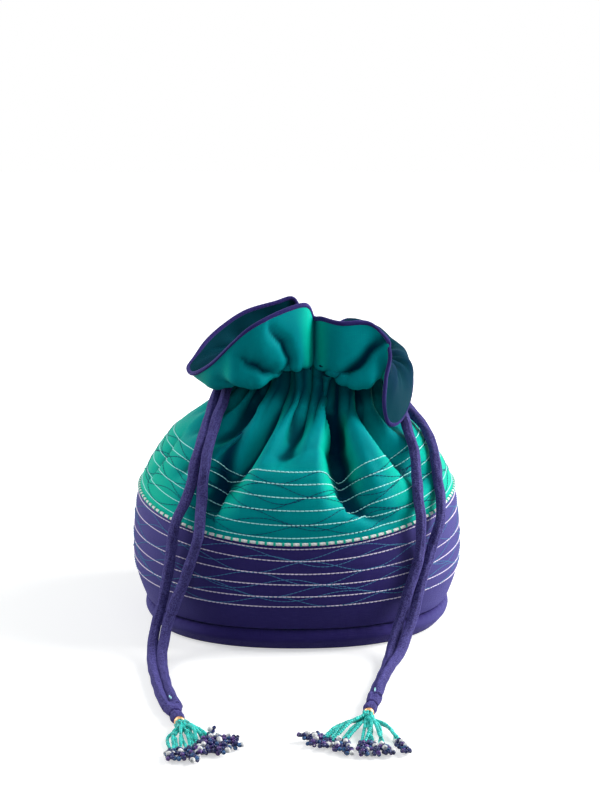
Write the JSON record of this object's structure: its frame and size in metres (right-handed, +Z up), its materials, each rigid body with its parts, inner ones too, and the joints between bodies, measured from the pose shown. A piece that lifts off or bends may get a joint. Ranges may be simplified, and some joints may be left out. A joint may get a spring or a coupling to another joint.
{
  "type": "potli bag",
  "caption": "Gathered cloth drawstring bag with a quilted body on a round base, a bound ruffle above its cord channel, and cords that end in bead tassels.",
  "frame": {"origin": "the middle of the base, at the level that the bag stands on", "axes": "+X is the bag's right side seen from the front, -Y is the front, where the tassels lie, and +Z is up"},
  "size_m": [0.2014, 0.3577, 0.1986],
  "materials": {
    "teal_silk": "soft sheen",
    "teal_lining": "soft sheen",
    "indigo_silk": "soft sheen",
    "white_cord": "matte",
    "grey_board": "matte",
    "gold": "polished",
    "turquoise_glass": "opaque gloss",
    "navy_glass": "opaque gloss"
  },
  "bodies": {
    "root": {"base_panel": "indigo_silk", "base_board": "grey_board", "lower_band": "indigo_silk", "upper_wall": "teal_silk", "lining": "teal_lining", "edge_binding": "indigo_silk", "seam_cord": "white_cord", "drawstring_left": "indigo_silk", "drawstring_right": "indigo_silk", "cord_wrap_left": "indigo_silk", "cord_wrap_right": "indigo_silk", "gold_bead_left": "gold", "gold_bead_right": "gold", "bead_string_left_1": "turquoise_glass", "bead_string_left_2": "turquoise_glass", "bead_string_left_3": "turquoise_glass", "bead_string_left_4": "turquoise_glass", "bead_string_left_5": "turquoise_glass", "bead_string_left_6": "turquoise_glass", "bead_string_left_7": "turquoise_glass", "bead_string_right_1": "turquoise_glass", "bead_string_right_2": "turquoise_glass", "bead_string_right_3": "turquoise_glass", "bead_string_right_4": "turquoise_glass", "bead_string_right_5": "turquoise_glass", "bead_string_right_6": "turquoise_glass", "bead_string_right_7": "turquoise_glass", "end_beads_left_1": "navy_glass", "end_beads_left_2": "navy_glass", "end_beads_left_3": "navy_glass", "end_beads_left_4": "navy_glass", "end_beads_left_5": "navy_glass", "end_beads_left_6": "navy_glass", "end_beads_left_7": "navy_glass", "end_beads_right_1": "navy_glass", "end_beads_right_2": "navy_glass", "end_beads_right_3": "navy_glass", "end_beads_right_4": "navy_glass", "end_beads_right_5": "navy_glass", "end_beads_right_6": "navy_glass", "end_beads_right_7": "navy_glass"}
  },
  "joints": []
}
